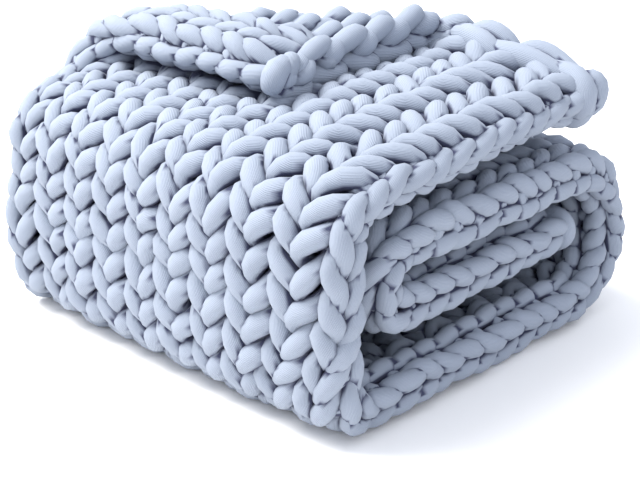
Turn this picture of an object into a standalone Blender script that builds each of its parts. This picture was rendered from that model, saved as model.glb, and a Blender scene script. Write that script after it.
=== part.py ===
"""Chunky knit throw: one knitted panel that lies folded in a loose spiral of four layers."""

import math
from collections import namedtuple

import bmesh
import bpy
from mathutils import Vector

# The knitted panel, in metres
COLUMN = 0.0435             # width of one stitch column
FLAT_COLUMNS = 9            # columns between the two rolled side edges
ROLL_RADIUS = 0.0235        # half the thickness of a rolled side edge
SHEET_HALF = 0.0160         # half the thickness of the knitting at a column's crest
GROOVE = 0.0060             # how much thinner the knitting is between two columns
ROLL_DROP = 0.0075          # how far a rolled edge sits towards the inner side of the panel
ROLL_SPREAD = 0.022         # from the thick part of a rolled edge to the plain knitting
END_RADIUS = 0.016          # rounding of the cast-on and bind-off ends
WIDER = 0.016               # how much wider the outer wrap is on its left side
WIDER_FROM = 0.16           # distances from the cast-on end between which it widens
WIDER_FULL = 0.30
WIDER_UNTIL = 0.75          # and between which it narrows again
WIDER_TO = 0.95

# The fold path of the panel, seen from its side edge, from the cast-on end inwards.
# Each section has its length, the angle that it turns through, the number of steps that it
# is made in, and how far the panel has drifted sideways at the section's end.
Section = namedtuple("Section", "name length turn steps drift")
SECTIONS = (
    Section("top layer", 0.302, 0, 20, 0.000),
    Section("front top fold", 0.0785, 90, 6, 0.001),
    Section("front wall", 0.124, 0, 4, 0.002),
    Section("front foot", 0.0534, 90, 4, 0.003),
    Section("floor layer", 0.299, 0, 8, 0.005),
    Section("back bend", 0.2325, 180, 11, 0.000),
    Section("upper inner layer", 0.239, 0, 7, -0.005),
    Section("inner fold", 0.121, 180, 8, -0.007),
    Section("lower inner layer", 0.250, 0, 8, -0.010),
)
TOP_CROWN = 0.007           # how much the top layer swells in its middle
CROWN_LENGTH = 0.15         # length of panel over which it swells
SOFT_CORNER = 0.011         # how much further in the front top fold lies at its left end
SOFT_LENGTH = 0.13          # how far along the panel this reaches to each side of the fold

# The cast-on corner that is turned back over the top layer
FLAP_REACH = 0.265          # from the corner to the fold, along each edge
FLAP_RADIUS = 0.0185        # of the fold
FLAP_SETTLE = 0.018         # slope with which the flap sinks from its fold to its tip

# The top layer beside the flap, which rises towards the cast-on end and curls up there
END_LIFT = 0.022            # how far it rises
END_RISE = 0.008            # how far its end curls up besides
END_CURL = 0.055            # length of the panel that curls
LIFT_FROM = 0.026           # distances from the panel's middle between which this grows
LIFT_FULL = 0.085

PRESSED = 0.006             # knitting this close to the surface is pressed flat on it

# The round edge of a roll or an end: angles at which it has a line of points
ROUND_ANGLES = (20, 52, 90)

YARN_COLOUR = (0.47, 0.54, 0.73, 1.0)
YARN_ROUGHNESS = 0.9

HALF_WIDTH = FLAT_COLUMNS * COLUMN / 2 + ROLL_RADIUS
LENGTH = sum(section.length for section in SECTIONS)


def clear_scene():
    for obj in list(bpy.data.objects):
        bpy.data.objects.remove(obj, do_unlink=True)


def smooth(value):
    """Rises from 0 to 1 with level ends."""
    value = min(max(value, 0.0), 1.0)
    return value * value * (3 - 2 * value)


def round_edge(radius):
    """Distances from a round edge at which the panel has a line of points."""
    return [radius * (1 - math.cos(math.radians(angle))) for angle in ROUND_ANGLES]


def share_of_round(distance, radius):
    """Share of the full thickness at this distance from a round edge."""
    inward = max(1 - distance / radius, 0.0)
    return math.sqrt(1 - inward * inward)


def stations_across():
    """Lines of points along the panel: distance from its middle, and 1 in a groove, 0 on a crest."""
    columns = [(COLUMN * k / 2, float(k % 2)) for k in range(FLAT_COLUMNS)]
    edge = [(HALF_WIDTH - distance, 0.0) for distance in round_edge(ROLL_RADIUS)[::-1]]
    right = columns + edge
    return [(-place, groove) for place, groove in right[:0:-1]] + right


def stations_along():
    """Distances from the cast-on end at which the panel has a line of points across."""
    ends = round_edge(END_RADIUS)
    plain_from = ends[-1] * 1.3
    places = []
    start = 0.0
    for section in SECTIONS:
        step = section.length / section.steps
        places += [start + step * k for k in range(section.steps)]
        start += section.length
    plain = [place for place in places if plain_from < place < LENGTH - plain_from]
    return ends + plain + [LENGTH - distance for distance in ends[::-1]]


def half_thickness(across, along, groove):
    """Half the panel's thickness, and how far the middle sits towards the inner side."""
    from_edge = HALF_WIDTH - abs(across)
    roll = 1 - smooth((from_edge - ROLL_RADIUS) / ROLL_SPREAD)
    full = SHEET_HALF - GROOVE / 2 * groove + (ROLL_RADIUS - SHEET_HALF) * roll
    full *= share_of_round(from_edge, ROLL_RADIUS)
    full *= share_of_round(min(along, LENGTH - along), END_RADIUS)
    return full, ROLL_DROP * roll


def widened(across, along):
    """Place across the panel, whose left half is wider on the outer wrap."""
    wide = smooth((along - WIDER_FROM) / (WIDER_FULL - WIDER_FROM))
    wide *= smooth((WIDER_TO - along) / (WIDER_TO - WIDER_UNTIL))
    return across + WIDER * wide * min(across / HALF_WIDTH, 0.0)


def beyond_fold(across, along):
    """Distance past the start of the corner's fold, whose line runs at 45 degrees."""
    return (FLAP_REACH - (across + HALF_WIDTH) - along) / math.sqrt(2) + FLAP_RADIUS


def rise_beside_flap(across, along):
    """How far the top layer rises towards the cast-on end and curls up there."""
    beside = smooth((across - LIFT_FROM) / (LIFT_FULL - LIFT_FROM))
    to_end = min(max(1 - along / SECTIONS[0].length, 0.0), 1.0)
    curl = END_RISE * (1 - smooth(along / END_CURL)) * smooth(2 - 2 * across / HALF_WIDTH)
    return beside * (END_LIFT * to_end + curl)


def turn_corner(across, along, height):
    """Turns the cast-on corner back over the top layer."""
    beyond = beyond_fold(across, along)
    if beyond <= 0:
        return across, along, height
    bend = math.pi * FLAP_RADIUS
    angle = min(beyond / FLAP_RADIUS, math.pi)
    radius = FLAP_RADIUS - height
    forward = radius * math.sin(angle) - max(beyond - bend, 0.0)
    raised = FLAP_RADIUS - radius * math.cos(angle) - FLAP_SETTLE * max(beyond - bend, 0.0)
    shift = (forward - beyond) / math.sqrt(2)
    return across - shift, along - shift, raised


def path_point(along):
    """Place on the fold path as (y, z), with the direction of the panel's outer side."""
    y, z, heading, drift = 0.0, 0.0, math.pi, 0.0
    left = along
    for section in SECTIONS:
        step = min(left, section.length)
        turn = math.radians(section.turn) * step / section.length
        if section.turn:
            radius = section.length / math.radians(section.turn)
            y += radius * (math.sin(heading + turn) - math.sin(heading))
            z -= radius * (math.cos(heading + turn) - math.cos(heading))
        else:
            y += step * math.cos(heading)
            z += step * math.sin(heading)
        heading += turn
        drift += (section.drift - drift) * step / section.length
        left -= step
        if left <= 0:
            break
    return y, z, math.sin(heading), -math.cos(heading), drift


def swell(across, along):
    """How far the outer wrap stands out: its crown, soft left front corner and raised end."""
    sideways = max(1 - (across / HALF_WIDTH) ** 2, 0.0)
    crown = TOP_CROWN * sideways * smooth((SECTIONS[0].length - along) / CROWN_LENGTH)
    front_fold = SECTIONS[0].length + SECTIONS[1].length / 2
    near = 1 - smooth(abs(along - front_fold) / SOFT_LENGTH)
    leftward = smooth(0.5 - 0.5 * across / HALF_WIDTH)
    return crown - SOFT_CORNER * near * leftward + rise_beside_flap(across, along)


def folded_point(across, along, height):
    """Place in the folded throw of a point of the flat panel."""
    across, along, height = turn_corner(across, along, height)
    y, z, out_y, out_z, drift = path_point(along)
    height += swell(across, along)
    return Vector((across + drift, y + out_y * height, z + out_z * height))


def panel_mesh():
    """The panel as a slab on a grid, folded, with its foot pressed flat."""
    across = stations_across()
    along = stations_along()
    mesh = bmesh.new()
    bmesh.ops.create_grid(
        mesh, x_segments=len(across) - 1, y_segments=len(along) - 1, size=0.5
    )
    slab = bmesh.ops.extrude_face_region(mesh, geom=mesh.faces[:])
    upper = {item for item in slab["geom"] if isinstance(item, bmesh.types.BMVert)}
    for vert in mesh.verts:
        column = round((vert.co.x + 0.5) * (len(across) - 1))
        row = round((vert.co.y + 0.5) * (len(along) - 1))
        place, groove = across[column]
        half, drop = half_thickness(place, along[row], groove)
        height = (half if vert in upper else -half) - drop
        vert.co = folded_point(widened(place, along[row]), along[row], height)
    settle(mesh)
    bmesh.ops.triangulate(mesh, faces=mesh.faces[:], quad_method="SHORT_EDGE")
    bmesh.ops.recalc_face_normals(mesh, faces=mesh.faces[:])
    return mesh


def settle(mesh):
    """Centres the throw on its origin, stands it on the surface and presses its foot flat."""
    low = Vector(min(vert.co[axis] for vert in mesh.verts) for axis in range(3))
    high = Vector(max(vert.co[axis] for vert in mesh.verts) for axis in range(3))
    middle = (low + high) / 2
    for vert in mesh.verts:
        vert.co -= Vector((middle.x, middle.y, low.z))
        if vert.co.z < PRESSED:
            vert.co.z = 0.0


def yarn_material():
    material = bpy.data.materials.new("jersey_yarn")
    material.use_nodes = True
    shader = material.node_tree.nodes["Principled BSDF"]
    shader.inputs["Base Color"].default_value = YARN_COLOUR
    shader.inputs["Roughness"].default_value = YARN_ROUGHNESS
    shader.inputs["Metallic"].default_value = 0.0
    return material


def make_throw(collection):
    mesh = panel_mesh()
    data = bpy.data.meshes.new("throw")
    mesh.to_mesh(data)
    mesh.free()
    data.shade_smooth()
    data.materials.append(yarn_material())
    collection.objects.link(bpy.data.objects.new("throw", data))


def main():
    clear_scene()
    collection = bpy.data.collections.new("chunky_knit_throw")
    bpy.context.scene.collection.children.link(collection)
    make_throw(collection)


main()
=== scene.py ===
"""Looks of the chunky knit throw: its yarn, stitch by stitch, on the folded panel."""

import math
from collections import namedtuple

import bpy
from bpy.props import FloatProperty, FloatVectorProperty, IntProperty, PointerProperty
from bpy.types import Operator, Panel, PropertyGroup
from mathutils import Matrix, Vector


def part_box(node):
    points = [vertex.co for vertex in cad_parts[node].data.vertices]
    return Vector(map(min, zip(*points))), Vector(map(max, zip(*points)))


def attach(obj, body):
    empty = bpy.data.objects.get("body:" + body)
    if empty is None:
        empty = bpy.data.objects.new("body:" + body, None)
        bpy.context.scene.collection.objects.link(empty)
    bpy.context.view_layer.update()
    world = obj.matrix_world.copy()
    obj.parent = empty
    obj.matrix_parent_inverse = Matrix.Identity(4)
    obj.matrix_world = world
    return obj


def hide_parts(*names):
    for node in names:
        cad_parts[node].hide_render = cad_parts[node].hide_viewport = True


bl_info = {
    "name": "Chunky knit throw",
    "version": (1, 0, 0),
    "blender": (4, 5, 0),
    "location": "3D View > Sidebar > Throw",
    "description": "Knits a folded throw of stuffed jersey yarn",
    "category": "Object",
}

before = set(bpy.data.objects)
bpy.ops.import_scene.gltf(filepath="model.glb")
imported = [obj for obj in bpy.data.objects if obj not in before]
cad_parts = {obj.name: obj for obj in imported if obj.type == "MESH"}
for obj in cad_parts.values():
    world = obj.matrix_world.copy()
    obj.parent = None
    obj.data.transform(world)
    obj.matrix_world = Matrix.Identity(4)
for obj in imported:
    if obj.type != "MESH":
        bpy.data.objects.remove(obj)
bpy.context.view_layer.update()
THROW_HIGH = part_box("throw")[1]

# The folded panel, in metres, with the sizes of part.py
COLUMN = 0.0435             # width of one stitch column
FLAT_COLUMNS = 9            # columns between the two rolled side edges
ROLL_RADIUS = 0.0235        # half the thickness of a rolled side edge
SHEET_HALF = 0.0160         # half the thickness of the knitting
WIDER = 0.016               # how much wider the outer wrap is on its left side
WIDER_FROM = 0.16           # distances from the cast-on end between which it widens
WIDER_FULL = 0.30
WIDER_UNTIL = 0.75          # and between which it narrows again
WIDER_TO = 0.95

# The fold path of the panel, seen from its side edge, from the cast-on end inwards
Section = namedtuple("Section", "name length turn drift")
SECTIONS = (
    Section("top layer", 0.302, 0, 0.000),
    Section("front top fold", 0.0785, 90, 0.001),
    Section("front wall", 0.124, 0, 0.002),
    Section("front foot", 0.0534, 90, 0.003),
    Section("floor layer", 0.299, 0, 0.005),
    Section("back bend", 0.2325, 180, 0.000),
    Section("upper inner layer", 0.239, 0, -0.005),
    Section("inner fold", 0.121, 180, -0.007),
    Section("lower inner layer", 0.250, 0, -0.010),
)
TOP_CROWN = 0.007           # how much the top layer swells in its middle
CROWN_LENGTH = 0.15         # length of panel over which it swells
SOFT_CORNER = 0.011         # how much further in the front top fold lies at its left end
SOFT_LENGTH = 0.13          # how far along the panel this reaches to each side of the fold

# The cast-on corner that is turned back over the top layer
FLAP_REACH = 0.272          # from the corner to the fold, along each edge
FLAP_RADIUS = 0.0168        # of the fold
FLAP_SETTLE = 0.018         # slope with which the flap sinks from its fold to its tip

# The top layer beside the flap, which rises towards the cast-on end and curls up there
END_LIFT = 0.016            # how far it rises
END_RISE = 0.016            # how far its end curls up besides
END_CURL = 0.055            # length of the panel that curls
CURL_NONE = 0.8             # share of the half width from which on nothing curls
CURL_FADE = 0.5             # share of it over which the curl fades before that
LIFT_FROM = 0.022           # distances from the panel's middle between which all this grows
LIFT_FULL = 0.074
START_DRIFT = -0.007        # how far sideways the cast-on end lies

# How the stitches lie on the panel
LEG_LEVEL = 0.005           # height of a stitch's legs above the middle of the panel
LEG_ROLL = 0.0145           # radius of a rolled side edge at that height
TIP_ROLL = 0.45             # share of that radius that is gone at the turned-back corner
FAR_ROLL = 0.40             # share by which it is larger at the other cast-on corner
TIP_LENGTH = 0.06           # length of panel over which both fade
ROLL_ROOM = 0.6             # share of the stitches' depth that is left inside a roll
ROOM_LEAN = 1.2             # lean in radians from which on only that share is left

# Distances from the cast-on end, and the columns that have slipped there from the rolled
# right and left side edges onto the flat of the panel, or the other way if below 0
Slip = namedtuple("Slip", "along right left")
SLIPS = (
    Slip(0.00, -0.85, -0.12),
    Slip(0.30, -0.70, -0.12),
    Slip(0.43, -0.42, -0.12),
    Slip(0.56, 0.50, 0.00),
    Slip(0.86, 0.50, 0.00),
    Slip(1.09, -0.02, -0.12),
    Slip(1.33, -0.02, -0.12),
    Slip(1.45, 0.50, 0.00),
)

# The helper panel that carries the stitches
FLAT_STEP = 0.012           # from point to point across its flat
ROLL_STEP = 0.004           # and around its rolled side edges
ROLL_REACH = 0.128          # how far it goes on around them
ALONG_STEP = 0.008          # from point to point along it
END_REACH = 0.03            # how far it goes on past its two ends
PROBE = 0.001               # distance to each side at which its outer side is found

# Rows of each knitted piece
PieceRows = namedtuple("PieceRows", "first rows")
PIECE_ROWS = (PieceRows(0, 15), PieceRows(15, 15), PieceRows(30, 14), PieceRows(44, 14))

# How a loop's shape changes over the panel and along the yarn
LOOSE_FROM = 3.9            # columns from the middle at which the looser edge stitches start
LOOSE_WAIST = 2.0           # how much more that takes from their waist than it adds in length
THIN_FROM = 2.5             # columns from the middle at which the yarn starts to thin
THIN_OVER = 2.0             # columns over which it does
FOOT_TWIST = 0.6            # share by which the twist is larger at a loop's foot, less at its top
TOP_FAT = 0.5               # share of the pinch by which the yarn is fatter at a loop's top
GROW_FROM = 2.0             # columns from the left at which a chain's loops start to grow
GROW_OVER = 5.0             # columns over which they do
CHAIN_FAT = 1.06            # thickness of the yarn in the chains, against that in the rows

# The yarn strays by a soft noise over the flat panel, which has a layer for each use
NOISE_SCALE = 17.0
NOISE_DETAIL = 1.0
NOISE_ROUGHNESS = 0.6
NOISE_FULL = 4.0            # brings the noise to about -1 to 1
SEED_STEP = 0.31            # from the layers of one seed to those of the next
ACROSS_LAYER = 0.0
ALONG_LAYER = 7.0
HEIGHT_LAYER = 13.0
RADIUS_LAYER = 19.0
HEIGHT_STRAY = 0.5          # how far the height strays, against the place
RADIUS_STRAY = 0.05         # and the radius, as a share of itself

# How finely the yarn is made
STITCH_POINTS = 26          # points of its course in one stitch
TURN_POINTS = 8             # in one turn at a side edge
CHAIN_POINTS = 28           # in one loop of an edge chain
YARN_SIDES = 16             # points around it
TIP_POINTS = 3.0            # points over which its cut ends narrow to a round tip
TIP_FULL = 1.01             # a little over 1, so that the very tip stays open
POINT_LENGTH = 0.006        # about its length from one point to the next, for its ribs
HAIR = 0.0001               # keeps whole numbers from falling short by rounding
FLOOR_GAP = 0.0003          # height of the lowest yarn over the floor
FEWEST_FACES = 100          # a piece with fewer faces has no yarn

# How the yarn looks for other yarn close to it, in directions added to the surface's own, to find
# the creases that get painted shade
LOOKS = (
    (0.0, 0.0, 0.0), (0.8, 0.0, 0.0), (-0.8, 0.0, 0.0), (0.0, 0.8, 0.0), (0.0, -0.8, 0.0),
    (0.0, 0.0, 0.8), (0.0, 0.0, -0.8),
)
LOOK_START = 0.0008         # height over its surface from which it looks
LOOK_REACH = 0.018          # how far it looks

# The jersey's surface, with painted shade in its rib grooves and in the creases between stitches
JERSEY = "brushed_jersey"
JERSEY_ROUGHNESS = 0.88
JERSEY_SHINE = 0.25
SHEEN_ROUGHNESS = 0.45
Noise = namedtuple("Noise", "scale detail")
BLOTCHES = Noise(9.0, 3.0)
GRAIN = Noise(900.0, 2.0)
RIB_TURN = 3.0              # radians that the ribs turn around the yarn in a metre of it
RIB_SHADE_PART = 0.45             # parts of the ribs' painted shade in their grooves, the blotches and the grain in the tone
BLOTCH_TONE = 0.5
GRAIN_TONE = 0.3
NOISE_TONE = 0.8            # of both noises together
TONE_DROP = 0.05            # what is taken off the tone
# Painted shade: the creases between stitches, where little open air is around the yarn, are
# darkened
CREASE_SHADE_FULL = 0.46          # share of open air at which the painted shade in the creases is full
CREASE_SHADE_FADE = 0.44          # further share over which that fades
CREASE_SHADE_CURVE = 1.3          # power with which it does
CREASE_SHADE_MOST = 0.97          # most of the painted shade in the creases
BUMP_STRENGTH = 0.8
GRAIN_RELIEF = 0.6          # depth of the grain, against that of the ribs
COLOUR_A, COLOUR_B, COLOUR_RESULT = 6, 7, 2     # a mix node's colour sockets

# The stage
FLOOR_HALF = 4              # half the floor's side
FLOOR_ROUGHNESS = 0.9
FLOOR_SHINE = 0.1
FILL_TINT = (0.91, 0.95, 1.04, 1)
LAMP_TINT = (1.0, 0.985, 0.945)
LAMP_SIZE = 1.6
LAMP_PLACE = (-1.2, -0.8, 2.2)
CAMERA_AZIMUTH = 43.27      # in degrees, from -Y towards +X
CAMERA_ELEVATION = 23.22    # in degrees
CAMERA_DISTANCE = 1.3684    # from the place that it looks at
CAMERA_TARGET = (0.0703, -0.0700, 0.0973)
CAMERA_LENS = 83.3
CAMERA_SENSOR = 36

# What follows from these values
HALF_WIDTH = FLAT_COLUMNS * COLUMN / 2 + ROLL_RADIUS
TOP_LENGTH = SECTIONS[0].length
LENGTH = sum(section.length for section in SECTIONS)
ALL_ROWS = sum(piece.rows for piece in PIECE_ROWS)


class KnitSizes(PropertyGroup):
    """Sizes of the knitting."""

    columns: IntProperty(
        name="Columns", description="Stitches across the panel", default=13, min=10, max=16
    )
    first_row: FloatProperty(
        name="First row", description="From the cast-on end to the first row's middle",
        default=0.030, unit="LENGTH",
    )
    row_height: FloatProperty(
        name="Row height", description="From one row to the next", default=0.0286,
        unit="LENGTH",
    )
    reach: FloatProperty(
        name="Loop reach", description="From a row's middle to the top of its loops",
        default=0.0265, unit="LENGTH",
    )
    waist: FloatProperty(
        name="Loop waist", description="How far the legs of a loop swing sideways",
        default=0.0142, unit="LENGTH",
    )
    depth: FloatProperty(
        name="Loop depth", description="How far the legs stand out from the loop's ends",
        default=0.0088, unit="LENGTH",
    )
    lift: FloatProperty(
        name="Loop lift", description="How far a loop's top lies over its foot, halved",
        default=0.003, unit="LENGTH",
    )
    twist: FloatProperty(
        name="Loop twist", description="How far a loop's legs lean over each other in turn",
        default=0.0038, unit="LENGTH",
    )
    middle: FloatProperty(
        name="Loop middle", description="Height of the middle of the yarn over the panel's",
        default=-0.003, unit="LENGTH",
    )
    looseness: FloatProperty(
        name="Edge looseness", description="How much longer the edge stitches are",
        default=0.22, subtype="FACTOR",
    )
    thinness: FloatProperty(
        name="Edge thinness", description="How much thinner the yarn is towards the side edges",
        default=0.18, subtype="FACTOR",
    )
    lean: FloatProperty(
        name="Loop lean", description="Sideways slope of the loops along their column",
        default=0.08, subtype="FACTOR",
    )
    edge_reach: FloatProperty(
        name="Edge reach", description="How far the yarn swings out where it turns back",
        default=0.014, unit="LENGTH",
    )
    yarn_radius: FloatProperty(
        name="Yarn radius", description="Half the thickness of the stuffed yarn",
        default=0.0100, unit="LENGTH",
    )
    pinch: FloatProperty(
        name="Pinch", description="How much thinner the yarn is between a loop's fat places",
        default=0.14, subtype="FACTOR",
    )
    unevenness: FloatProperty(
        name="Unevenness", description="How far the yarn strays from its even course",
        default=0.006, unit="LENGTH",
    )
    seed: IntProperty(name="Seed", description="Picks another unevenness", default=3)


class YarnFinish(PropertyGroup):
    """Finish of the jersey yarn, with the colours of its painted shade in the rib grooves and
    creases.
    """

    colour: FloatVectorProperty(
        name="Colour", description="Colour of the jersey", default=(0.368, 0.413, 0.493),
        subtype="COLOR", min=0, max=1,
    )
    # Painted shade in the grooves between the ribs, which is also the darker end of the jersey's
    # random tone
    shade: FloatVectorProperty(
        name="Shade", description="Colour between the ribs of the jersey",
        default=(0.260, 0.297, 0.375), subtype="COLOR", min=0, max=1,
    )
    # Painted shade: a dark colour put into the creases between the stitches, where shade falls
    crease_shade: FloatVectorProperty(
        name="Crease", description="Colour deep between the stitches",
        default=(0.045, 0.05, 0.10), subtype="COLOR", min=0, max=1,
    )
    ribs: IntProperty(
        name="Ribs", description="Fine ribs of the jersey around the yarn", default=48
    )
    rib_depth: FloatProperty(
        name="Rib depth", description="Depth of the fine ribs", default=0.0005, unit="LENGTH"
    )
    fuzz: FloatProperty(
        name="Fuzz", description="Soft sheen of the brushed cotton", default=0.05,
        subtype="FACTOR",
    )


class StudioLook(PropertyGroup):
    """Floor and light."""

    floor: FloatVectorProperty(
        name="Floor", description="Colour of the floor", default=(0.985, 0.97, 0.95),
        subtype="COLOR", min=0, max=1,
    )
    fill: FloatProperty(
        name="Fill light", description="Strength of the light from all around", default=1.25
    )
    key: FloatProperty(
        name="Main light", description="Power of the large soft light", default=132.0,
        unit="POWER",
    )


# The folded panel's shape, with the functions of part.py


def smooth(value):
    """Rises from 0 to 1 with level ends."""
    value = min(max(value, 0.0), 1.0)
    return value * value * (3 - 2 * value)


def section_named(name):
    """A section of the fold path, and the distance from the cast-on end to its start."""
    start = 0.0
    for section in SECTIONS:
        if section.name == name:
            return section, start
        start += section.length
    raise KeyError(name)


def path_point(along):
    """Place on the fold path as (y, z), with the outer side's direction and the drift."""
    y, z, heading, drift = 0.0, 0.0, math.pi, START_DRIFT
    left = along
    for section in SECTIONS:
        step = left if section is SECTIONS[-1] else min(left, section.length)
        turn = math.radians(section.turn) * step / section.length
        if section.turn:
            radius = section.length / math.radians(section.turn)
            y += radius * (math.sin(heading + turn) - math.sin(heading))
            z -= radius * (math.cos(heading + turn) - math.cos(heading))
        else:
            y += step * math.cos(heading)
            z += step * math.sin(heading)
        heading += turn
        drift += (section.drift - drift) * step / section.length
        left -= step
        if left <= 0:
            break
    return y, z, math.sin(heading), -math.cos(heading), drift


def beyond_fold(across, along):
    """Distance past the start of the corner's fold, whose line runs at 45 degrees."""
    return (FLAP_REACH - (across + HALF_WIDTH) - along) / math.sqrt(2) + FLAP_RADIUS


def turn_corner(across, along, height):
    """Turns the cast-on corner back over the top layer."""
    beyond = beyond_fold(across, along)
    if beyond <= 0:
        return across, along, height
    bend = math.pi * FLAP_RADIUS
    angle = min(beyond / FLAP_RADIUS, math.pi)
    radius = FLAP_RADIUS - height
    forward = radius * math.sin(angle) - max(beyond - bend, 0.0)
    raised = FLAP_RADIUS - radius * math.cos(angle) - FLAP_SETTLE * max(beyond - bend, 0.0)
    shift = (forward - beyond) / math.sqrt(2)
    return across - shift, along - shift, raised


def rise_beside_flap(across, along):
    """How far the top layer rises towards the cast-on end and curls up there."""
    beside = smooth((across - LIFT_FROM) / (LIFT_FULL - LIFT_FROM))
    to_end = min(max(1 - along / TOP_LENGTH, 0.0), 1.0)
    curl = END_RISE * (1 - smooth(along / END_CURL))
    curl *= smooth((CURL_NONE - across / HALF_WIDTH) / CURL_FADE)
    return beside * (END_LIFT * to_end + curl)


def swell(across, along):
    """How far the outer wrap stands out: its crown, soft left front corner and raised end."""
    sideways = max(1 - (across / HALF_WIDTH) ** 2, 0.0)
    crown = TOP_CROWN * sideways * smooth((TOP_LENGTH - along) / CROWN_LENGTH)
    fold, fold_start = section_named("front top fold")
    near = 1 - smooth(abs(along - (fold_start + fold.length / 2)) / SOFT_LENGTH)
    leftward = smooth(0.5 - 0.5 * across / HALF_WIDTH)
    return crown - SOFT_CORNER * near * leftward + rise_beside_flap(across, along)


def folded_point(across, along, height):
    """Place in the folded throw of a point of the panel with its side edges rolled."""
    across, along, height = turn_corner(across, along, height)
    y, z, out_y, out_z, drift = path_point(along)
    height += swell(across, along)
    return SHIFT + Vector((across + drift, y + out_y * height, z + out_z * height))


def shift_to_frame():
    """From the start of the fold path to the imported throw's origin."""
    widest = max(section.drift for section in SECTIONS)
    bend, bend_start = section_named("back bend")
    y, z = path_point(bend_start)[:2]
    return Vector((
        THROW_HIGH.x - HALF_WIDTH - widest,
        THROW_HIGH.y - SHEET_HALF - bend.length / math.pi - y,
        SHEET_HALF - z,
    ))


SHIFT = shift_to_frame()


def slip(along, left):
    """Columns that have slipped onto the flat of the panel here, from its right or left edge."""
    slipped = SLIPS[0].left if left else SLIPS[0].right
    for before, after in zip(SLIPS, SLIPS[1:]):
        more = after.left - before.left if left else after.right - before.right
        slipped += more * smooth((along - before.along) / (after.along - before.along))
    return slipped


def widening(along):
    """How much wider the panel's left side is here."""
    wide = smooth((along - WIDER_FROM) / (WIDER_FULL - WIDER_FROM))
    return WIDER * wide * smooth((WIDER_TO - along) / (WIDER_TO - WIDER_UNTIL))


def roll_edge(across, along):
    """Place across the panel, its height and its lean where the side edge rolls under."""
    side = math.copysign(1, across)
    flat = COLUMN * FLAT_COLUMNS / 2 + (widening(along) if side < 0 else 0.0)
    slipped = flat + COLUMN * slip(along, side < 0)
    rest = abs(across) - slipped
    if rest <= 0:
        stretch = flat / slipped - 1
        outer = (across / slipped) ** 2 if stretch > 0 else 1.0
        return across * (1 + stretch * outer), LEG_LEVEL, 0.0
    change = FAR_ROLL if side > 0 else -TIP_ROLL
    radius = LEG_ROLL * (1 + change * (1 - smooth(along / TIP_LENGTH)))
    lean = min(rest / radius, math.pi)
    past = max(rest - math.pi * radius, 0.0)
    place = flat + radius * math.sin(lean) - past
    return side * place, LEG_LEVEL - radius * (1 - math.cos(lean)), side * lean


def laid_point(across, along, height):
    """Place in the folded throw of a point at this height over the stitches' legs."""
    place, level, lean = roll_edge(across, along)
    place += math.sin(lean) * height
    return folded_point(place, along, level + math.cos(lean) * height)


def steps(start, end, step):
    """Evenly spread numbers from start to end, about a step apart."""
    count = max(round((end - start) / step), 1)
    return [start + (end - start) * k / count for k in range(count + 1)]


def panel_stations():
    """Lines of points of the helper panel: across it, closer in the rolls, and along it."""
    flat = COLUMN * FLAT_COLUMNS / 2
    right = steps(0, flat - ROLL_STEP, FLAT_STEP) + steps(flat, flat + ROLL_REACH, ROLL_STEP)
    across = [-place for place in right[:0:-1]] + right
    return across, steps(-END_REACH, LENGTH + END_REACH, ALONG_STEP)


def panel_mesh():
    """The folded panel at the level of the stitches' legs, with its flat places as its UVs.

    Its points hold the outer side's direction and the room that the stitches have there."""
    across, along = panel_stations()
    flat_places = [(a, v) for v in along for a in across]
    points, outward, room = [], [], []
    for a, v in flat_places:
        inner, outer = laid_point(a, v, -PROBE), laid_point(a, v, PROBE)
        points.append((inner + outer) / 2)
        outward.append((outer - inner).normalized())
        lean = roll_edge(a, v)[2]
        room.append(1 - (1 - ROLL_ROOM) * smooth(abs(lean) / ROOM_LEAN))
    width = len(across)
    faces = [
        (row + k, row + k + 1, row + width + k + 1, row + width + k)
        for row in range(0, width * (len(along) - 1), width)
        for k in range(width - 1)
    ]
    mesh = bpy.data.meshes.new("panel")
    mesh.from_pydata(points, [], faces)
    mesh.attributes.new("outward", "FLOAT_VECTOR", "POINT").data.foreach_set(
        "vector", [number for direction in outward for number in direction]
    )
    mesh.attributes.new("room", "FLOAT", "POINT").data.foreach_set("value", room)
    places = mesh.uv_layers.new(name="flat_place")
    corners = [flat_places[loop.vertex_index] for loop in mesh.loops]
    places.data.foreach_set("uv", [number for corner in corners for number in corner])
    return mesh


# Node trees


class Number:
    """A node's output that takes part in sums, so that a rule reads as it is written."""

    def __init__(self, tree, socket):
        self.tree = tree
        self.socket = socket

    def work(self, operation, *others):
        node = self.tree.nodes.new("ShaderNodeMath")
        node.operation = operation
        for place, value in zip(node.inputs, (self, *others)):
            plug(self.tree, value, place)
        return Number(self.tree, node.outputs[0])

    def __add__(self, other):
        return self.work("ADD", other)

    def __sub__(self, other):
        return self.work("SUBTRACT", other)

    def __mul__(self, other):
        return self.work("MULTIPLY", other)

    def __truediv__(self, other):
        return self.work("DIVIDE", other)

    def __mod__(self, other):
        return self.work("MODULO", other)

    def __rsub__(self, other):
        return self.work("MULTIPLY", -1.0).work("ADD", other)

    __radd__ = __add__

    def sin(self):
        return self.work("SINE")

    def cos(self):
        return self.work("COSINE")

    def floor(self):
        return self.work("FLOOR")

    def over(self, limit):
        return self.work("GREATER_THAN", limit)

    def between(self, low, high):
        return self.work("MAXIMUM", low).work("MINIMUM", high)


def plug(tree, value, place):
    """Links an output to an input, or sets the input to a plain value."""
    if isinstance(value, Number):
        value = value.socket
    if isinstance(value, bpy.types.NodeSocket):
        tree.links.new(value, place)
    else:
        place.default_value = value


# Inputs that every tree of yarn has
SHARED_INPUTS = (
    ("Geometry", "Geometry"), ("Columns", "Int"), ("Column Width", "Float"),
    ("Yarn Radius", "Float"), ("Pinch", "Float"), ("Unevenness", "Float"), ("Seed", "Int"),
    ("Stitch Points", "Int"), ("Sides", "Int"), ("Floor Gap", "Float"),
    ("Material", "Material"),
)


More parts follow.
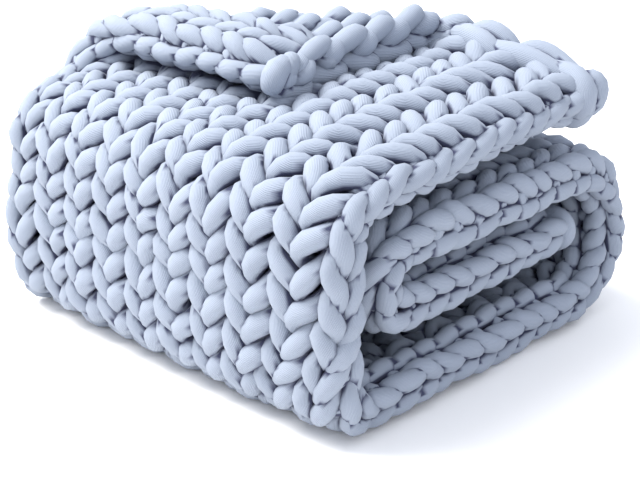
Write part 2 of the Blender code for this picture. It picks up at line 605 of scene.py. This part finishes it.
class Tree:
    """A geometry node tree with its inputs by name."""

    def __init__(self, name, inputs):
        self.tree = bpy.data.node_groups.new(name, "GeometryNodeTree")
        self.tree.interface.new_socket(
            "Geometry", in_out="OUTPUT", socket_type="NodeSocketGeometry"
        )
        self.identifiers = {}
        for title, kind in SHARED_INPUTS + inputs:
            socket = self.tree.interface.new_socket(
                title, in_out="INPUT", socket_type="NodeSocket" + kind
            )
            self.identifiers[title] = socket.identifier
        self.start = self.tree.nodes.new("NodeGroupInput")

    def given(self, title):
        return Number(self.tree, self.start.outputs[title])

    def node(self, kind, settings=None, **inputs):
        """A new node, with its settings, and its inputs by name with _ for a space."""
        node = self.tree.nodes.new(kind)
        for key, value in (settings or {}).items():
            setattr(node, key, value)
        for key, value in inputs.items():
            plug(self.tree, value, node.inputs[key.replace("_", " ")])
        return node

    def number(self, kind, output=0, settings=None, **inputs):
        """An output of a new node, the first one unless another is named."""
        node = self.node(kind, settings, **inputs)
        return Number(self.tree, node.outputs[output])

    def vector(self, x, y, z):
        return self.number("ShaderNodeCombineXYZ", X=x, Y=y, Z=z)

    def parts(self, vector):
        node = self.node("ShaderNodeSeparateXYZ", Vector=vector)
        return [Number(self.tree, socket) for socket in node.outputs]

    def vectors(self, operation, first, second):
        """A vector sum, or a vector times a number with SCALE."""
        node = self.tree.nodes.new("ShaderNodeVectorMath")
        node.operation = operation
        plug(self.tree, first, node.inputs[0])
        place = node.inputs["Scale"] if operation == "SCALE" else node.inputs[1]
        plug(self.tree, second, place)
        return Number(self.tree, node.outputs["Vector"])

    def captured(self, geometry, kind, **values):
        """A node that keeps values of the geometry's points for later, by name."""
        node = self.tree.nodes.new("GeometryNodeCaptureAttribute")
        for name in values:
            node.capture_items.new(kind, name)
        plug(self.tree, geometry, node.inputs["Geometry"])
        for name, value in values.items():
            plug(self.tree, value, node.inputs[name])
        return node

    def attribute(self, name, data_type):
        settings = {"data_type": data_type}
        return self.number("GeometryNodeInputNamedAttribute", 0, settings, Name=name)

    def on_panel(self, name, data_type, panel, place):
        """A value of the panel, or its position, at this flat place."""
        if name == "position":
            value = self.number("GeometryNodeInputPosition")
        else:
            value = self.attribute(name, data_type)
        node = self.node(
            "GeometryNodeSampleUVSurface", {"data_type": data_type}, Mesh=panel, Value=value
        )
        plug(self.tree, self.attribute("flat_place", "FLOAT_VECTOR"), node.inputs["UV Map"])
        plug(self.tree, place, node.inputs["Sample UV"])
        return Number(self.tree, node.outputs["Value"])

    def finish(self, geometry):
        end = self.tree.nodes.new("NodeGroupOutput")
        plug(self.tree, geometry, end.inputs["Geometry"])


def openness_for_shade(tree, yarn):
    """How free the yarn's surface is: 1 in the open, less in the creases between stitches, which
    get painted shade from it.
    """
    normal = tree.number("GeometryNodeInputNormal")
    position = tree.number("GeometryNodeInputPosition")
    start = tree.vectors("ADD", position, tree.vectors("SCALE", normal, LOOK_START))
    free = 0.0
    for away in LOOKS:
        ray = tree.node(
            "GeometryNodeRaycast",
            Target_Geometry=yarn,
            Source_Position=start,
            Ray_Direction=tree.vectors("ADD", normal, away),
            Ray_Length=LOOK_REACH,
        )
        hit = Number(tree.tree, ray.outputs["Is Hit"])
        near = 1.0 - Number(tree.tree, ray.outputs["Hit Distance"]) / LOOK_REACH
        free = (1.0 - hit * near) / float(len(LOOKS)) + free
    return free


def sweep_on_panel(tree, course, flat, radius, length):
    """Lays a course of points on the panel, and sweeps the yarn along it.

    flat is each point's place across, along and over the panel, and length is its place
    along the yarn."""
    panel = tree.given("Geometry")
    across, along, height = tree.parts(flat)
    place = tree.vector(across, along, 0.0)
    foot = tree.on_panel("position", "FLOAT_VECTOR", panel, place)
    outward = tree.on_panel("outward", "FLOAT_VECTOR", panel, place)
    room = tree.on_panel("room", "FLOAT", panel, place)
    rise = (height - LEG_LEVEL) * room
    laid = tree.vectors("ADD", foot, tree.vectors("SCALE", outward, rise))
    moved = tree.node("GeometryNodeSetPosition", Geometry=course, Position=laid)
    sized = tree.captured(moved.outputs[0], "FLOAT", radius=radius, length=length)
    line = tree.number("GeometryNodeMeshToCurve", Mesh=sized.outputs["Geometry"])
    position = tree.number("GeometryNodeInputPosition")
    circle = tree.number(
        "GeometryNodeCurvePrimitiveCircle", Resolution=tree.given("Sides"), Radius=1.0
    )
    ring = tree.captured(circle, "VECTOR", ring=position)
    tube = tree.number(
        "GeometryNodeCurveToMesh",
        Curve=line,
        Profile_Curve=ring.outputs["Geometry"],
        Scale=sized.outputs["radius"],
        Fill_Caps=True,
    )
    side, up, _ = tree.parts(ring.outputs["ring"])
    marks = tree.vector(side, up, sized.outputs["length"])
    marked = tree.node(
        "GeometryNodeStoreNamedAttribute",
        {"data_type": "FLOAT_VECTOR", "domain": "POINT"},
        Geometry=tube,
        Name="yarn_place",
        Value=marks,
    )
    x, y, z = tree.parts(position)
    stood = tree.node(
        "GeometryNodeSetPosition",
        Geometry=marked.outputs[0],
        Position=tree.vector(x, y, z.work("MAXIMUM", tree.given("Floor Gap"))),
    )
    # Stores how open each point is, which sets the painted shade in the creases
    lit = tree.node(
        "GeometryNodeStoreNamedAttribute",
        {"data_type": "FLOAT", "domain": "POINT"},
        Geometry=stood.outputs[0],
        Name="openness_for_shade",
        Value=openness_for_shade(tree, stood.outputs[0]),
    )
    smooth_shaded = tree.node("GeometryNodeSetShadeSmooth", Geometry=lit.outputs[0])
    real = tree.node("GeometryNodeRealizeInstances", Geometry=smooth_shaded.outputs[0])
    painted = tree.node(
        "GeometryNodeSetMaterial", Geometry=real.outputs[0], Material=tree.given("Material")
    )
    tree.finish(painted.outputs[0])


def uneven(tree, across, along, layer):
    """A soft random number from about -1 to 1 at this flat place."""
    noise = tree.number(
        "ShaderNodeTexNoise",
        "Fac",
        Vector=tree.vector(across, along, tree.given("Seed") * SEED_STEP + layer),
        Scale=NOISE_SCALE,
        Detail=NOISE_DETAIL,
        Roughness=NOISE_ROUGHNESS,
    )
    return (noise - 0.5) * NOISE_FULL


def strayed(tree, across, along, height):
    """This place over the flat panel, moved by the yarn's unevenness."""
    amount = tree.given("Unevenness")
    return tree.vector(
        across + uneven(tree, across, along, ACROSS_LAYER) * amount,
        along + uneven(tree, across, along, ALONG_LAYER) * amount,
        height + uneven(tree, across, along, HEIGHT_LAYER) * amount * HEIGHT_STRAY,
    )


def rounded_ends(radius, from_start, to_end):
    """Narrows the yarn to a round tip at its two cut ends, counted in points."""
    from_tip = from_start.work("MINIMUM", to_end).between(0.0, TIP_POINTS)
    inward = 1.0 - from_tip / TIP_POINTS
    return radius * (TIP_FULL - inward * inward).work("SQRT")


def knitted_rows_tree():
    """Rows of loops, one yarn that turns back at each side edge."""
    tree = Tree("knitted_rows", (
        ("First Row", "Int"), ("Rows", "Int"), ("All Rows", "Int"), ("Turn Points", "Int"),
        ("Row Height", "Float"), ("Start", "Float"), ("Reach", "Float"), ("Waist", "Float"),
        ("Depth", "Float"), ("Lift", "Float"), ("Twist", "Float"), ("Middle", "Float"),
        ("Lean", "Float"), ("Edge Looseness", "Float"), ("Edge Thinness", "Float"),
        ("Edge Reach", "Float"),
    ))
    given = tree.given
    row_points = given("Columns") * given("Stitch Points") + given("Turn Points")
    count = row_points * given("Rows") + 1
    course = tree.number("GeometryNodeMeshLine", Count=count)
    index = tree.number("GeometryNodeInputIndex")
    row = given("First Row") + (index / row_points + HAIR).floor()
    in_row = index - (row - given("First Row")) * row_points
    way = 1.0 - (row % 2.0) * 2.0
    stitch = in_row / given("Stitch Points")
    turning = stitch.over(given("Columns") + HAIR)
    turn = (in_row - given("Columns") * given("Stitch Points")) / given("Turn Points")
    half_turn = turn.between(0.0, 1.0) * math.pi
    phase = stitch * math.tau
    middle = given("Start") + row * given("Row Height")
    width = given("Column Width") * given("Columns") / 2.0
    from_middle = (stitch - given("Columns") / 2.0).work("ABSOLUTE")
    loose = (from_middle - LOOSE_FROM).between(0.0, 1.0) * given("Edge Looseness")
    waist = given("Waist") * (1.0 - loose * LOOSE_WAIST)
    reach = given("Reach") * (1.0 + loose * (1.0 - turning))
    loop_across = stitch * given("Column Width") - width + waist * (phase * 2.0).sin()
    loop_along = middle - reach * phase.cos()
    loop_height = (
        given("Middle") - given("Depth") * (phase * 2.0).cos() - given("Lift") * phase.cos()
        - given("Twist") * way * (phase * 2.0).sin() * (1.0 + phase.cos() * FOOT_TWIST)
    )
    turn_across = width + given("Edge Reach") * half_turn.sin()
    turn_along = middle - reach + given("Row Height") * (1.0 - half_turn.cos()) / 2.0
    turn_height = given("Middle") - given("Lift") - given("Depth") * (half_turn * 2.0).cos()
    across = way * (loop_across + (turn_across - loop_across) * turning)
    along = loop_along + (turn_along - loop_along) * turning
    across = across + (middle - along) * (1.0 - turning) * given("Lean")
    height = loop_height + (turn_height - loop_height) * turning
    flat = strayed(tree, across, along, height)
    thin = ((from_middle - THIN_FROM) / THIN_OVER).between(0.0, 1.0) * given("Edge Thinness")
    fat = 1.0 + given("Pinch") * ((phase * 4.0).cos() - phase.cos() * TOP_FAT) - thin
    stray = 1.0 + uneven(tree, across, along, RADIUS_LAYER) * RADIUS_STRAY
    from_start = row * row_points + in_row
    to_end = given("All Rows") * row_points - from_start
    radius = rounded_ends(given("Yarn Radius") * fat * stray, from_start, to_end)
    sweep_on_panel(tree, course, flat, radius, index * POINT_LENGTH)
    return tree


def edge_chain_tree():
    """A chain of loops along the cast-on or bind-off edge, whose last part is a plain strand.

    Each loop comes up through the one before. The chain faces out of the edge, and turns to
    face the panel's outer side where the edge curls up."""
    tree = Tree("edge_chain", (
        ("Place", "Float"), ("Facing", "Float"), ("Height", "Float"),
        ("First Reach", "Float"), ("Loop Reach", "Float"), ("Loop Width", "Float"),
        ("Loop Neck", "Float"), ("Loop Depth", "Float"), ("Chain From", "Float"),
        ("Chain Columns", "Float"), ("Turn From", "Float"), ("Turn Over", "Float"),
        ("Turned", "Float"),
    ))
    given = tree.given
    count = (given("Columns") - given("Chain From")) * given("Stitch Points") + 1
    course = tree.number("GeometryNodeMeshLine", Count=count)
    index = tree.number("GeometryNodeInputIndex")
    stitch = index / given("Stitch Points") + given("Chain From")
    phase = stitch * math.tau
    chained = (given("Chain Columns") - stitch).between(0.0, 1.0)
    grown = ((stitch - GROW_FROM) / GROW_OVER).between(0.0, 1.0)
    reach = given("First Reach") + (given("Loop Reach") - given("First Reach")) * grown
    swing = phase.sin() * given("Column Width") / 4.0 - phase.cos() * reach
    across = (stitch - given("Columns") / 2.0) * given("Column Width") + swing * chained
    sideways = phase.sin() * given("Loop Width") - (phase * 2.0).sin() * given("Loop Neck")
    sideways = sideways * chained
    outwards = (phase * 2.0).cos() * given("Loop Depth") * chained * -1.0
    turned = ((across - given("Turn From")) / given("Turn Over")).between(0.0, 1.0)
    lean = turned * given("Turned")
    along = (
        given("Place")
        - given("Facing") * sideways * lean.sin()
        + given("Facing") * outwards * lean.cos()
    )
    height = given("Height") + sideways * lean.cos() + outwards * lean.sin()
    flat = strayed(tree, across, along, height)
    fat = 1.0 - given("Pinch") * (phase * 2.0).cos() * chained
    radius = rounded_ends(given("Yarn Radius") * fat, index, count - 1.0 - index)
    sweep_on_panel(tree, course, flat, radius, index * POINT_LENGTH)
    return tree


# Materials


def stored(tree, name):
    """The outputs of a node that reads an attribute of the yarn."""
    node = tree.nodes.new("ShaderNodeAttribute")
    node.attribute_name = name
    return node.outputs


def noise_at(tree, place, noise):
    """A soft random number from 0 to 1 at this place."""
    node = tree.nodes.new("ShaderNodeTexNoise")
    plug(tree, place, node.inputs["Vector"])
    plug(tree, noise.scale, node.inputs["Scale"])
    plug(tree, noise.detail, node.inputs["Detail"])
    return Number(tree, node.outputs["Fac"])


def mixed(tree, share, first, second):
    """The first colour where share is 0, and the second where it is 1."""
    node = tree.nodes.new("ShaderNodeMix")
    node.data_type = "RGBA"
    plug(tree, share, node.inputs["Factor"])
    plug(tree, first, node.inputs[COLOUR_A])
    plug(tree, second, node.inputs[COLOUR_B])
    return node.outputs[COLOUR_RESULT]


def jersey_material(finish):
    """Brushed cotton jersey with fine ribs that run along the yarn, painted shade in the ribs'
    grooves and painted shade in the creases between stitches.
    """
    material = bpy.data.materials.new(JERSEY)
    material.use_nodes = True
    tree = material.node_tree
    shader = tree.nodes["Principled BSDF"]
    shader.inputs["Roughness"].default_value = JERSEY_ROUGHNESS
    shader.inputs["Specular IOR Level"].default_value = JERSEY_SHINE
    shader.inputs["Sheen Weight"].default_value = finish.fuzz
    shader.inputs["Sheen Roughness"].default_value = SHEEN_ROUGHNESS
    split = tree.nodes.new("ShaderNodeSeparateXYZ")
    plug(tree, stored(tree, "yarn_place")["Vector"], split.inputs[0])
    side, up, length = (Number(tree, socket) for socket in split.outputs)
    # The ribs' grooves get painted shade; the blotches and the grain are the jersey's random tone
    angle = up.work("ARCTAN2", side) + length * RIB_TURN
    rib = (angle * float(finish.ribs)).cos() * 0.5 + 0.5
    place = tree.nodes.new("ShaderNodeTexCoord").outputs["Object"]
    grain = noise_at(tree, place, GRAIN)
    tone = noise_at(tree, place, BLOTCHES) * BLOTCH_TONE + grain * GRAIN_TONE
    share = (rib * RIB_SHADE_PART + tone * NOISE_TONE - TONE_DROP).between(0.0, 1.0)
    jersey = mixed(tree, share, (*finish.shade, 1), (*finish.colour, 1))
    # Painted shade: where little open air is around the yarn, in the creases between stitches,
    # its colour is mixed towards the dark shade colour of the creases
    free = Number(tree, stored(tree, "openness_for_shade")["Fac"])
    shade_amount = 1.0 - ((free - CREASE_SHADE_FULL) / CREASE_SHADE_FADE).between(0.0, 1.0)
    deep = shade_amount.work("POWER", CREASE_SHADE_CURVE) * CREASE_SHADE_MOST
    plug(tree, mixed(tree, deep, jersey, (*finish.crease_shade, 1)), shader.inputs["Base Color"])
    bump = tree.nodes.new("ShaderNodeBump")
    bump.inputs["Distance"].default_value = finish.rib_depth
    bump.inputs["Strength"].default_value = BUMP_STRENGTH
    plug(tree, rib + grain * GRAIN_RELIEF, bump.inputs["Height"])
    plug(tree, bump.outputs["Normal"], shader.inputs["Normal"])
    return material


def floor_material(colour):
    """A matt floor."""
    material = bpy.data.materials.new("studio_floor")
    material.use_nodes = True
    shader = material.node_tree.nodes["Principled BSDF"]
    shader.inputs["Base Color"].default_value = (*colour, 1)
    shader.inputs["Roughness"].default_value = FLOOR_ROUGHNESS
    shader.inputs["Specular IOR Level"].default_value = FLOOR_SHINE
    return material


# Operators


def shared_values(context):
    """Values of the inputs that every piece has alike."""
    sizes = context.scene.knit_sizes
    jersey = bpy.data.materials.get(JERSEY) or jersey_material(context.scene.yarn_finish)
    return {
        "Columns": sizes.columns, "Column Width": COLUMN, "Pinch": sizes.pinch,
        "Unevenness": sizes.unevenness, "Seed": sizes.seed, "Sides": YARN_SIDES,
        "Floor Gap": FLOOR_GAP, "Material": jersey,
    }


def grown_on_panel(context, name, tree, values):
    """A piece of the throw: the tree's yarn on the folded panel, as a plain mesh."""
    piece = bpy.data.objects.new(name, panel_mesh())
    context.scene.collection.objects.link(piece)
    modifier = piece.modifiers.new("yarn", "NODES")
    modifier.node_group = tree.tree
    for title, value in values.items():
        modifier[tree.identifiers[title]] = value
    graph = context.evaluated_depsgraph_get()
    mesh = bpy.data.meshes.new_from_object(piece.evaluated_get(graph))
    piece.modifiers.remove(modifier)
    helper = piece.data
    piece.data = mesh
    bpy.data.meshes.remove(helper)
    mesh.name = name
    if len(mesh.polygons) < FEWEST_FACES:
        raise RuntimeError(f"{name} came out without its yarn")
    return piece


def belongs_to_throw(piece):
    """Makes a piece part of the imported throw, in the place of its plain solid."""
    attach(piece, "root")
    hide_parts("throw")


class THROW_OT_knit_rows(Operator):
    """Knits the rows of the panel, in four pieces along one yarn"""

    bl_idname = "throw.knit_rows"
    bl_label = "Knit the rows"

    def execute(self, context):
        sizes = context.scene.knit_sizes
        tree = knitted_rows_tree()
        for number, (first, rows) in enumerate(PIECE_ROWS, 1):
            piece = grown_on_panel(context, f"knitted_rows_{number}", tree, {
                **shared_values(context), "Stitch Points": STITCH_POINTS,
                "Turn Points": TURN_POINTS, "First Row": first, "Rows": rows,
                "All Rows": ALL_ROWS, "Row Height": sizes.row_height,
                "Start": sizes.first_row, "Reach": sizes.reach, "Waist": sizes.waist,
                "Depth": sizes.depth, "Lift": sizes.lift, "Twist": sizes.twist,
                "Middle": sizes.middle, "Lean": sizes.lean,
                "Edge Looseness": sizes.looseness, "Edge Thinness": sizes.thinness,
                "Edge Reach": sizes.edge_reach, "Yarn Radius": sizes.yarn_radius,
            })
            belongs_to_throw(piece)
        return {"FINISHED"}


class THROW_OT_chain_edges(Operator):
    """Chains the cast-on edge and the bind-off edge"""

    bl_idname = "throw.chain_edges"
    bl_label = "Chain the two ends"

    def execute(self, context):
        sizes = context.scene.knit_sizes
        tree = edge_chain_tree()
        ends = {
            "cast_on_edge": {
                "Place": 0.009, "Facing": -1.0, "Height": 0.004, "Chain From": 1.2,
                "Chain Columns": 11.6, "Turn From": -0.01, "Turn Over": 0.06,
                "Turned": math.pi / 2,
            },
            "bind_off_edge": {
                "Place": LENGTH - 0.010, "Facing": 1.0, "Height": 0.0, "Chain From": 0.0,
                "Chain Columns": 10.6, "Turn From": 1.0, "Turn Over": 1.0, "Turned": 0.0,
            },
        }
        for name, end in ends.items():
            piece = grown_on_panel(context, name, tree, {
                **shared_values(context), **end, "Stitch Points": CHAIN_POINTS,
                "First Reach": 0.014, "Loop Reach": 0.027, "Loop Width": 0.0100,
                "Loop Neck": 0.0025, "Loop Depth": 0.0055,
                "Yarn Radius": sizes.yarn_radius * CHAIN_FAT,
            })
            belongs_to_throw(piece)
        return {"FINISHED"}


class THROW_OT_set_stage(Operator):
    """Sets the floor, the soft light and the camera"""

    bl_idname = "throw.set_stage"
    bl_label = "Set the stage"

    def execute(self, context):
        look = context.scene.studio_look
        self.floor(context, look)
        self.lights(context, look)
        self.camera(context)
        context.scene.view_settings.view_transform = "Standard"
        return {"FINISHED"}

    def floor(self, context, look):
        mesh = bpy.data.meshes.new("floor")
        half = FLOOR_HALF
        corners = [(-half, -half, 0), (half, -half, 0), (half, half, 0), (-half, half, 0)]
        mesh.from_pydata(corners, [], [(0, 1, 2, 3)])
        mesh.materials.append(floor_material(look.floor))
        floor = bpy.data.objects.new("floor", mesh)
        context.scene.collection.objects.link(floor)

    def lights(self, context, look):
        world = bpy.data.worlds.new("studio")
        world.use_nodes = True
        background = world.node_tree.nodes["Background"]
        background.inputs["Color"].default_value = FILL_TINT
        background.inputs["Strength"].default_value = look.fill
        context.scene.world = world
        light = bpy.data.lights.new("main_light", "AREA")
        light.shape = "RECTANGLE"
        light.size = LAMP_SIZE
        light.size_y = LAMP_SIZE
        light.energy = look.key
        light.color = LAMP_TINT
        lamp = bpy.data.objects.new("main_light", light)
        lamp.location = LAMP_PLACE
        lamp.rotation_euler = (-lamp.location).to_track_quat("-Z", "Y").to_euler()
        context.scene.collection.objects.link(lamp)

    def camera(self, context):
        azimuth, elevation = math.radians(CAMERA_AZIMUTH), math.radians(CAMERA_ELEVATION)
        back = Vector((
            math.sin(azimuth) * math.cos(elevation),
            -math.cos(azimuth) * math.cos(elevation),
            math.sin(elevation),
        ))
        data = bpy.data.cameras.new("camera")
        data.lens = CAMERA_LENS
        data.sensor_width = CAMERA_SENSOR
        camera = bpy.data.objects.new("camera", data)
        camera.location = Vector(CAMERA_TARGET) + back * CAMERA_DISTANCE
        camera.rotation_euler = back.to_track_quat("Z", "Y").to_euler()
        context.scene.collection.objects.link(camera)
        context.scene.camera = camera


class THROW_PT_sidebar(Panel):
    """The throw's sizes and steps"""

    bl_idname = "THROW_PT_sidebar"
    bl_label = "Chunky knit throw"
    bl_space_type = "VIEW_3D"
    bl_region_type = "UI"
    bl_category = "Throw"

    def draw(self, context):
        for group in SETTINGS:
            box = self.layout.box()
            values = getattr(context.scene, group)
            for key in values.__annotations__:
                box.prop(values, key)
        for step in STEPS:
            self.layout.operator(step.bl_idname)


SETTINGS = {"knit_sizes": KnitSizes, "yarn_finish": YarnFinish, "studio_look": StudioLook}
STEPS = (THROW_OT_knit_rows, THROW_OT_chain_edges, THROW_OT_set_stage)


def register():
    for cls in (*SETTINGS.values(), *STEPS, THROW_PT_sidebar):
        bpy.utils.register_class(cls)
    for name, cls in SETTINGS.items():
        setattr(bpy.types.Scene, name, PointerProperty(type=cls))


def unregister():
    for name in SETTINGS:
        delattr(bpy.types.Scene, name)
    for cls in (THROW_PT_sidebar, *reversed(STEPS), *SETTINGS.values()):
        bpy.utils.unregister_class(cls)


def main():
    register()
    bpy.ops.throw.knit_rows()
    bpy.ops.throw.chain_edges()
    bpy.ops.throw.set_stage()


if __name__ == "__main__":
    main()
